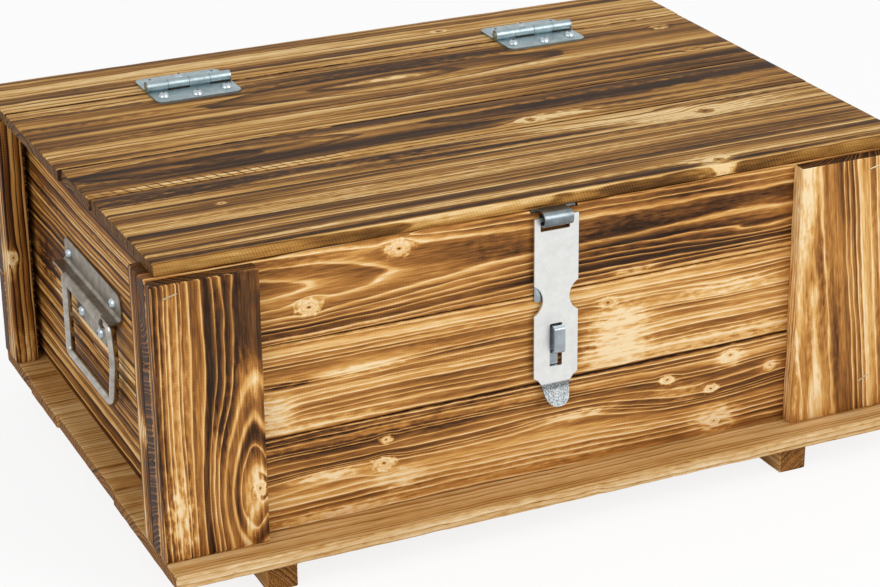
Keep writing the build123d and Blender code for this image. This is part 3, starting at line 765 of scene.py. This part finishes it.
TOP_BOARDS = (
    Board(
        nodes="rear_top_board", title="rear top board", look=SAWN_TOP,
        axes="XY", ring_width=10.0, pith=(520.0, 180.0),
        scorch=0.14, seed=31.0, wave_seed=11.0,
        patches=(
            Patch(300, 354.5, WHOLE, 1.2, -0.9), Patch(300, 362, 200, 5, -0.15),
            Patch(180, 395, 200, 12, 0.15),
        ),
        knots=(Knot(392, 400, 2.4, 0.7),),
    ),
    Board(
        nodes="lid_board_rear", title="lid rear board", look=SAWN_TOP,
        axes="XY", ring_width=5.4, pith=(300.0, 155.0),
        scorch=0.42, seed=17.0, wave_seed=12.0,
        patches=(
            Patch(300, 216.4, WHOLE, 1.2, -0.9), Patch(300, 353.5, WHOLE, 1.2, -0.9),
            Patch(300, 300, 110, 30, rings=-2.0), Patch(330, 326, 170, 8, -0.6),
            Patch(50, 308, 80, 5, -0.45), Patch(300, 262, 400, 4, -0.35),
            Patch(305, 303, 36, 4, 0.6), Patch(120, 338, 110, 7, 0.3),
            Patch(160, 240, 300, 9, 0.12), Patch(420, 285, 160, 8, 0.2),
            Patch(250, 347, 260, 4, -0.35), Patch(520, 232, 90, 6, -0.3),
        ),
        knots=(Knot(558, 261, 3.0, 0.7), Knot(564, 328, 3.2, 0.7)),
    ),
    Board(
        nodes="lid_board_middle", title="lid middle board", look=SAWN_TOP,
        axes="XY", ring_width=4.6, pith=(190.0, 165.0),
        scorch=0.57, seed=41.0, wave_seed=13.0,
        patches=(
            Patch(300, 149.3, WHOLE, 1.0, -0.7), Patch(300, 215.9, WHOLE, 1.2, -0.9),
            Patch(120, 190, 90, 25, rings=-1.5), Patch(105, 155, 85, 4.5, 0.6),
            Patch(240, 172, 110, 7, -0.6), Patch(460, 196, 150, 12, -0.65),
            Patch(60, 178, 90, 6, -0.5), Patch(376, 166, 40, 8, 0.8, rings=1.0),
            Patch(200, 205, 200, 5, 0.25), Patch(210, 191, 30, 3.5, 0.5),
            Patch(500, 165, 90, 8, 0.2),
        ),
        knots=(Knot(360, 164, 2.8, 0.75),),
        chatter=Chatter(105, 155, 85, 4.5, 8.6),
    ),
    Board(
        nodes="lid_board_front", title="lid front board", look=SAWN_TOP,
        axes="XY", ring_width=4.0, pith=(-60.0, 210.0),
        scorch=0.25, seed=53.0, wave_seed=14.0,
        patches=(
            Patch(300, 148.8, WHOLE, 1.2, -0.9), Patch(130, 134, 210, 8, -0.85),
            Patch(163, 130.5, 46, 3, 1.0), Patch(430, 133, 100, 12, 0.3, rings=2.6),
            Patch(415, 133, 70, 4.5, 0.9), Patch(482, 123, 58, 10, 1.4, rings=1.6),
            Patch(330, 120, 120, 4, -0.6), Patch(500, 140, 90, 4, -0.8),
            Patch(480, 107, 80, 3.5, -0.6), Patch(437, 26, 18, 8, 0.8, rings=1.4),
            Patch(432, 16, 14, 3, 0.7), Patch(200, 80, 260, 10, 0.3), Patch(300, 20, 400, 3, -0.45),
            Patch(280, 30, 400, 3, 0.3), Patch(300, 14, WHOLE, 2, 0.12),
            Patch(450, 60, 140, 9, -0.25),
        ),
        knots=(Knot(488.7, 121.6, 4.6, 0.62), Knot(443, 24, 3.0, 0.75), Knot(87.5, 101, 1.3, 0.8)),
    ),
    Board(
        nodes="lid_batten_left lid_batten_right", title="lid battens", look=PALE,
        axes="YX", ring_width=3.8, pith=(10.0, 150.0),
        scorch=0.3, seed=61.0, wave_seed=15.0,
    ),
)

# The end walls' patches, from the bottom board up. Those of the two ends are alike.
END_PATCHES = {
    "bottom": (Patch(200, 60, 200, 5, -0.35), Patch(120, 30, 90, 12, 0.15)),
    "middle": (
        Patch(338, 95, 26, 16, -1.0), Patch(240, 104, 70, 14, -0.5, rings=1.2),
        Patch(240, 80, 100, 4, 0.6), Patch(120, 120, 60, 6, 0.2),
    ),
    "top": (
        Patch(200, 188, 300, 6, -0.2), Patch(330, 155, 70, 7, -0.4), Patch(150, 170, 110, 8, 0.2),
    ),
}


class OBJECT_OT_chest_front(bpy.types.Operator):
    """Front wall: three flamed boards between two posts"""

    bl_idname = "object.chest_front"
    bl_label = "Chest front"

    def execute(self, context):
        lay_boards(context, FRONT_BOARDS)
        return {"FINISHED"}


class OBJECT_OT_chest_top(bpy.types.Operator):
    """Top: the fixed rear board and the lid's three boards on their battens"""

    bl_idname = "object.chest_top"
    bl_label = "Chest top"

    def execute(self, context):
        lay_boards(context, TOP_BOARDS)
        return {"FINISHED"}


class OBJECT_OT_chest_ends(bpy.types.Operator):
    """End walls, rear wall and corner strips"""

    bl_idname = "object.chest_ends"
    bl_label = "Chest ends and rear"

    def execute(self, context):
        boards = []
        for row, (level, patches) in enumerate(END_PATCHES.items()):
            for end, side in enumerate(("left", "right")):
                boards.append(Board(
                    nodes=f"{side}_end_board_{level}", title=f"{side} end {level}",
                    look=STRIPED, axes="YZ", ring_width=4.4,
                    pith=(-70.0 + 240 * (row % 2), 60.0), scorch=0.36, seed=71.0 + row + 9 * end,
                    wave_seed=20.0 + row + 5 * end, patches=patches,
                ))
            first, second = 150 + 130 * row, 430 - 90 * row
            boards.append(Board(
                nodes=f"rear_board_{level}", title=f"rear {level} board", look=FLAMED,
                axes="XZ", ring_width=2.6, pith=(30.0 + 75 * row, 340.0),
                scorch=0.45, seed=91.0 + row, wave_seed=30.0 + row,
                patches=(
                    Patch(first, 35 + 70 * row, 90, 22, rings=1.8),
                    Patch(first, 35 + 70 * row, 70, 6, 0.4),
                    Patch(second, 40 + 68 * row, 120, 20, rings=-1.2),
                    Patch(second, 40 + 68 * row, 110, 14, -0.35),
                ),
                knots=(
                    Knot(210 + 120 * row, 28 + 72 * row, 2.8),
                    Knot(470 - 150 * row, 50 + 66 * row, 2.2),
                ),
            ))
        corners = ("front left", "front right", "rear left", "rear right")
        for number, corner in enumerate(corners):
            boards.append(Board(
                nodes="corner_strip_" + corner.replace(" ", "_"),
                title=f"{corner} strip", look=STRIPED,
                axes="ZX", ring_width=3.4, pith=(-40.0, 330.0),
                scorch=0.4, seed=101.0 + number, wave_seed=40.0 + number,
                patches=(Patch(10, 10, 20, 20, 0.3), Patch(87, 1, 12, 4, 0.7)),
                knots=(Knot(92, 4, 2.0),) if corner.startswith("rear") else (),
            ))
        lay_boards(context, boards)
        return {"FINISHED"}


class OBJECT_OT_chest_base(bpy.types.Operator):
    """Base: four floor boards on two runners"""

    bl_idname = "object.chest_base"
    bl_label = "Chest base"

    def execute(self, context):
        # The front edge was sawn after the flame and stayed pale
        sawn_edge = (Patch(300, -21, WHOLE, 1.6, 0.3),)
        lay_boards(context, [
            Board(
                nodes=f"floor_board_{row}", title=f"floor {row}", look=PALE,
                axes="XY", ring_width=3.4, pith=(40.0 + 90 * number, -60.0),
                scorch=0.5, seed=111.0 + number, wave_seed=50.0 + number, wave=0.9,
                patches=sawn_edge if row == "front" else (),
            )
            for number, row in enumerate(("front", "middle", "narrow", "rear"))
        ])
        lay_boards(context, [
            Board(
                nodes=f"runner_{side}", title=f"{side} runner", look=PALE,
                axes="YX", ring_width=3.2, pith=(40.0 + 480 * number, -60.0),
                scorch=0.45, seed=121.0 + number, wave_seed=60.0 + number, wave=0.5,
            )
            for number, side in enumerate(("left", "right"))
        ])
        return {"FINISHED"}


def add_staple(name, x, z, turn, material):
    """The crown of a wire staple in a post's face: a half-round bar, 10.6 mm by 1.3 mm.

    turn is its slant on the post, in radians."""
    arc = [math.radians(angle) for angle in range(0, 181, 30)]
    section = [(0.65 * math.cos(a), -0.45 * math.sin(a)) for a in arc] + [(-0.65, 0.3), (0.65, 0.3)]
    # Places along the bar and the section's size there: it rounds off where it dives in
    stations = ((-5.3, 0.35), (-5.1, 0.8), (-4.7, 1.0), (4.7, 1.0), (5.1, 0.8), (5.3, 0.35))
    vertices = []
    for along, scale in stations:
        for side, out in section:
            dx = along * math.cos(turn) - side * scale * math.sin(turn)
            dz = along * math.sin(turn) + side * scale * math.cos(turn)
            vertices.append(to_frame(x + dx, out * scale, z + dz))
    faces = skin(len(stations), len(section))
    new_piece(name, vertices, faces, material, "chest")


def add_recesses(node_name, outward, material):
    """A dark cross on each domed screw head of a node, laid on the dome's crown: painted shade for
    its cross recess.
    """
    mesh = bmesh.new()
    mesh.from_mesh(frame["nodes"][node_name].data)
    bmesh.ops.remove_doubles(mesh, verts=mesh.verts, dist=1e-6)
    outward = Vector(outward)
    first = outward.orthogonal().normalized()
    second = outward.cross(first)
    left = set(mesh.verts)
    vertices, faces = [], []
    while left:
        # One screw: all that hangs together with the first vertex that is left
        island, fresh = set(), [min(left, key=lambda v: v.index)]
        while fresh:
            vertex = fresh.pop()
            if vertex in island:
                continue
            island.add(vertex)
            fresh += [edge.other_vert(vertex) for edge in vertex.link_edges]
        left -= island
        # The head is its outermost 2 mm
        crown = max(vertex.co.dot(outward) for vertex in island)
        ordered = sorted(island, key=lambda v: v.index)
        head = [v.co for v in ordered if v.co.dot(outward) > crown - 2.0 * MM]
        middle = sum(head, Vector()) / len(head)
        middle += outward * (crown - middle.dot(outward))
        # Two crossed arms, 3 mm long and 0.7 mm wide, that follow a dome of 4.5 mm radius
        for long, short in ((first, second), (second, first)):
            start = len(vertices)
            for step in (-1.5, -1.1, -0.4, 0.4, 1.1, 1.5):
                lift = 0.06 - step * step / 9.0
                width = 0.34 if abs(step) < 1.3 else 0.2
                for side in (-width, width):
                    vertices.append(middle + (long * step + short * side + outward * lift) * MM)
            for a in range(start, start + 10, 2):
                faces.append((a, a + 1, a + 3, a + 2))
    mesh.free()
    body, slot = body_of_node(node_name), slot_of_node(node_name)
    piece = new_piece(f"{node_name}_recesses", vertices, faces, material, body)
    thick = piece.modifiers.new("Depth", "SOLIDIFY")
    thick.thickness = 0.25 * MM
    thick.offset = 0.0


class OBJECT_OT_chest_hardware(bpy.types.Operator):
    """Hinges, hasp, staple, drop handles, screws and the posts' wire staples"""

    bl_idname = "object.chest_hardware"
    bl_label = "Chest hardware"

    def execute(self, context):
        # Blue-passivated zinc plate: cool, bright and a little mottled
        hinge = steel_material("Blue zinc-plated steel", "#a9b7ba", "#87969a", 0.34, 0.5, "X")
        # Dull zinc plate on rolled strip: pale and nearly matt, its bent tip painted darker grey
        # below 72.5 mm as painted shade for the dark reflection it takes
        strap = steel_material(
            "Satin zinc-plated strip", "#ebebe9", "#dcddda", 0.4, 0.5, "Z", painted_shade_below=72.5
        )
        # The same plate, left bright: it mirrors the room in a soft grey
        staple = steel_material("Bright zinc-plated strip", "#b4bbc0", "#8b949b", 0.3, 0.5, "Z")
        # The rolled hinge of the hasp: the same plate, painted a darker grey as painted shade for the
        # roll's darker reflections
        roll = steel_material("Rolled zinc-plated strip", "#8e979b", "#6c757a", 0.32, 0.5, "X")
        # Bare pressed sheet under a thin oily film: grey-brown and dull
        plate = steel_material("Dull pressed steel", "#aba397", "#7d7468", 0.34, 0.5, "Y", 0.3)
        # Drawn wire, rubbed smooth by hands: a warm grey with long bright lights
        wire = steel_material("Drawn steel wire", "#bdb9b1", "#8d877d", 0.2, 0.4, "Z")
        # Small turned heads in clear zinc plate: cold and shiny, with a bright point each
        screw = steel_material("Bright zinc-plated screw", "#c2cbd0", "#98a2a8", 0.24, 0.4, "Z")
        # The recess takes hardly any light, so its plate looks dark grey
        recess = steel_material("Shadowed screw recess", "#4c5356", "#363c3f", 0.5, 0.4, "Z")
        for side in ("left", "right"):
            dress_node(f"hinge_lid_leaf_{side}", hinge, 0.25)
            dress_node(f"hinge_fixed_leaf_{side}", hinge, 0.25)
            dress_node(f"hinge_pin_{side}", hinge)
            dress_node(f"handle_plate_{side}", plate, 0.2)
            dress_node(f"handle_screws_{side}", screw)
            dress_node(f"bail_{side}", wire)
        dress_node("hasp_leaf", strap, 0.2)
        dress_node("hasp_plate", roll)
        dress_node("staple_plate", staple)
        dress_node("staple_loop", staple, 0.2)
        for name in ("hinge_lid_screws", "hinge_fixed_screws", "hasp_plate_screws", "staple_screws"):
            dress_node(name, screw)
        for name, outward in (
            ("hinge_lid_screws", (0, 0, 1)), ("hinge_fixed_screws", (0, 0, 1)),
            ("handle_screws_left", (-1, 0, 0)), ("handle_screws_right", (1, 0, 0)),
        ):
            add_recesses(name, outward, recess)
        # Galvanised wire staples hold the posts: their crowns are dull and stained by the wood
        crown = steel_material("Galvanised staple wire", "#cdbb97", "#a3906c", 0.4, 0.4, "X")
        crowns = ((13.4, 197.2, 0.25), (563.5, 26.0, 0.5), (562.9, 197.7, 0.2))
        for number, (x, z, turn) in enumerate(crowns, 1):
            add_staple(f"staple_crown_{number}", x, z, turn, crown)
        return {"FINISHED"}


# The camera stands where the photograph's did: found by fitting a plain pinhole camera to
# the chest's corners. Angles in degrees, distances in mm, focal length for a 36 mm sensor.
CAMERA_AZIMUTH = -24.497
CAMERA_ELEVATION = 23.103
CAMERA_ROLL = -0.670
CAMERA_DISTANCE = 1967.3
CAMERA_TARGET = (300.0, 200.0, 100.0)
CAMERA_SLIDE = (-0.469, -28.532)
CAMERA_LENS = 103.03
# The backdrop shows at 1. The floor shows this share of that, and takes the chest's shadow
# with the rest.
FLOOR_GLOW = 0.85
FLOOR_REACH = 12.0


def rays_that_see(tree):
    """1 for the rays that show the backdrop: the camera's, and those in gloss or glass."""
    path = add_node(tree, "LightPath").outputs
    seen = path["Is Camera Ray"]
    for ray in ("Is Glossy Ray", "Is Transmission Ray"):
        seen = add_node(tree, "Math", [seen, path[ray]], "MAXIMUM")
    return seen


class OBJECT_OT_chest_stage(bpy.types.Operator):
    """Stage: pale floor, soft light and the camera"""

    bl_idname = "object.chest_stage"
    bl_label = "Chest stage"

    def execute(self, context):
        scene = context.scene
        stage = scene.chest_stage
        azimuth, elevation, roll = (
            math.radians(angle) for angle in (CAMERA_AZIMUTH, CAMERA_ELEVATION, CAMERA_ROLL)
        )
        level = math.cos(elevation)
        back = Vector(
            (math.sin(azimuth) * level, -math.cos(azimuth) * level, math.sin(elevation))
        )
        right = Vector((math.cos(azimuth), math.sin(azimuth), 0))
        up = back.cross(right)
        target = Vector(CAMERA_TARGET) + right * CAMERA_SLIDE[0] + up * CAMERA_SLIDE[1]
        camera = bpy.data.objects.new("Camera", bpy.data.cameras.new("Camera"))
        camera.data.lens = CAMERA_LENS
        camera.data.sensor_width = 36.0
        rolled_right = right * math.cos(roll) + up * math.sin(roll)
        rolled_up = up * math.cos(roll) - right * math.sin(roll)
        turn = Matrix((rolled_right, rolled_up, back)).transposed().to_4x4()
        place = to_frame(*(target + back * CAMERA_DISTANCE))
        camera.matrix_world = Matrix.Translation(place) @ turn
        scene.collection.objects.link(camera)
        scene.camera = camera

        # Seamless photographic paper: matt and white, so it shows nothing but the shadow
        paper, tree, shader = new_material("Seamless paper")
        colour = (*stage.floor_colour, 1.0)
        shader.inputs["Base Color"].default_value = colour
        shader.inputs["Roughness"].default_value = 0.9
        shader.inputs["Specular IOR Level"].default_value = 0.0
        glow = add_node(tree, "Emission", {"Color": colour, "Strength": 1.0})
        share = add_node(tree, "Math", [rays_that_see(tree), FLOOR_GLOW], "MULTIPLY")
        mixed = add_node(tree, "MixShader", [share, shader, glow])
        tree.links.new(mixed.outputs[0], tree.nodes["Material Output"].inputs["Surface"])
        far = FLOOR_REACH
        mesh = bpy.data.meshes.new("Floor")
        mesh.from_pydata(
            [(-far, -far, 0), (far, -far, 0), (far, far, 0), (-far, far, 0)], [], [(0, 1, 2, 3)]
        )
        mesh.materials.append(paper)
        floor = bpy.data.objects.new("Floor", mesh)
        scene.collection.objects.link(floor)

        world = bpy.data.worlds.new("Pale room")
        world.use_nodes = True
        scene.world = world
        tree = world.node_tree
        background = tree.nodes["Background"]
        levels = [rays_that_see(tree), 0.0, 1.0, stage.sky_strength, 1.0]
        strength = add_node(tree, "MapRange", levels)
        background.inputs["Color"].default_value = (1.0, 1.0, 1.0, 1.0)
        tree.links.new(strength.outputs[0], background.inputs["Strength"])

        for name, place, power, width in (
            ("Key lamp", (1.3, -1.9, 1.9), stage.key_power, 1.6),
            ("Fill lamp", (-1.8, -0.9, 1.2), stage.key_power * 0.4, 1.4),
        ):
            lamp = bpy.data.objects.new(name, bpy.data.lights.new(name, "AREA"))
            lamp.data.energy = power
            lamp.data.size = width
            lamp.location = place
            to_chest = Vector((0, 0, 0.1)) - Vector(place)
            lamp.rotation_euler = to_chest.to_track_quat("-Z", "Y").to_euler()
            scene.collection.objects.link(lamp)
        scene.view_settings.view_transform = "Standard"
        return {"FINISHED"}


class VIEW3D_PT_chest(bpy.types.Panel):
    """Sizes, colours and steps of the chest"""

    bl_idname = "VIEW3D_PT_chest"
    bl_label = "Scorched Board Chest"
    bl_space_type = "VIEW_3D"
    bl_region_type = "UI"
    bl_category = "Chest"

    def draw(self, context):
        layout = self.layout
        for settings in (context.scene.chest_wood, context.scene.chest_stage):
            for name in settings.bl_rna.properties.keys():
                if name not in ("name", "rna_type"):
                    layout.prop(settings, name)
        for operator in OPERATORS:
            layout.operator(operator.bl_idname)


OPERATORS = (
    OBJECT_OT_chest_stage,
    OBJECT_OT_chest_front,
    OBJECT_OT_chest_top,
    OBJECT_OT_chest_ends,
    OBJECT_OT_chest_base,
    OBJECT_OT_chest_hardware,
)
CLASSES = (ChestStageProperties, ChestWoodProperties, *OPERATORS, VIEW3D_PT_chest)


def register():
    for entry in CLASSES:
        bpy.utils.register_class(entry)
    bpy.types.Scene.chest_stage = bpy.props.PointerProperty(type=ChestStageProperties)
    bpy.types.Scene.chest_wood = bpy.props.PointerProperty(type=ChestWoodProperties)


def unregister():
    del bpy.types.Scene.chest_wood
    del bpy.types.Scene.chest_stage
    for entry in reversed(CLASSES):
        bpy.utils.unregister_class(entry)


def main():
    register()
    bpy.ops.object.chest_stage()
    bpy.ops.object.chest_front()
    bpy.ops.object.chest_top()
    bpy.ops.object.chest_ends()
    bpy.ops.object.chest_base()
    bpy.ops.object.chest_hardware()


if __name__ == "__main__":
    main()
